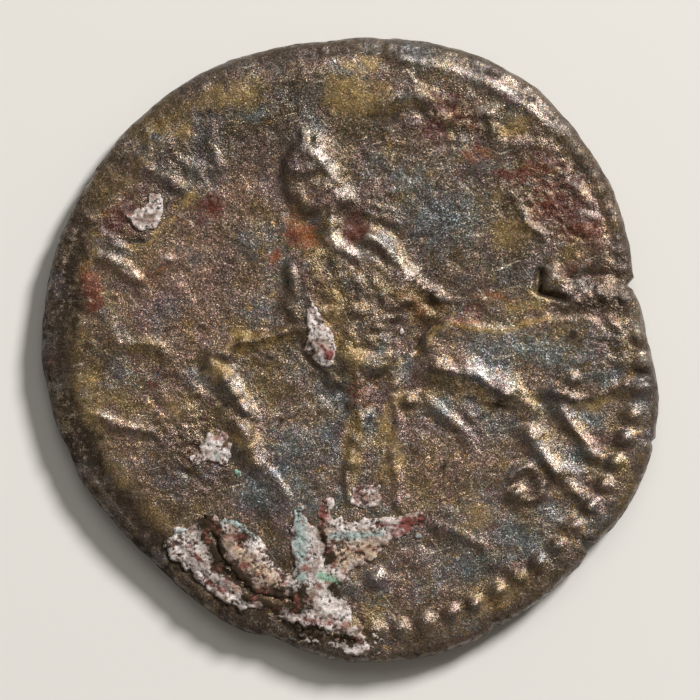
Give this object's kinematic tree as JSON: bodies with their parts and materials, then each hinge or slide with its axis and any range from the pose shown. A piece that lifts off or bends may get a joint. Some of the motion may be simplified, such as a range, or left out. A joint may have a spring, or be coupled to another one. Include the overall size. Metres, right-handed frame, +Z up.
{
  "type": "antoninianus coin",
  "caption": "Worn ancient struck bronze coin, a thin uneven disc with a standing figure on one face and a radiate bust on the other, with a split edge and a pale crust.",
  "frame": {"origin": "centre of the coin's outline, on the plane of the worn rim that it rests on", "axes": "+Z up out of the reverse, +Y towards the top of the standing figure, +X to the figure's left hand, at the right of the picture"},
  "size_m": [0.0216, 0.022, 0.0017],
  "materials": {
    "silvered_bronze": "worn silver-washed bronze with brown patina and a pale crust"
  },
  "bodies": {
    "root": {"coin": "silvered_bronze"}
  },
  "joints": []
}
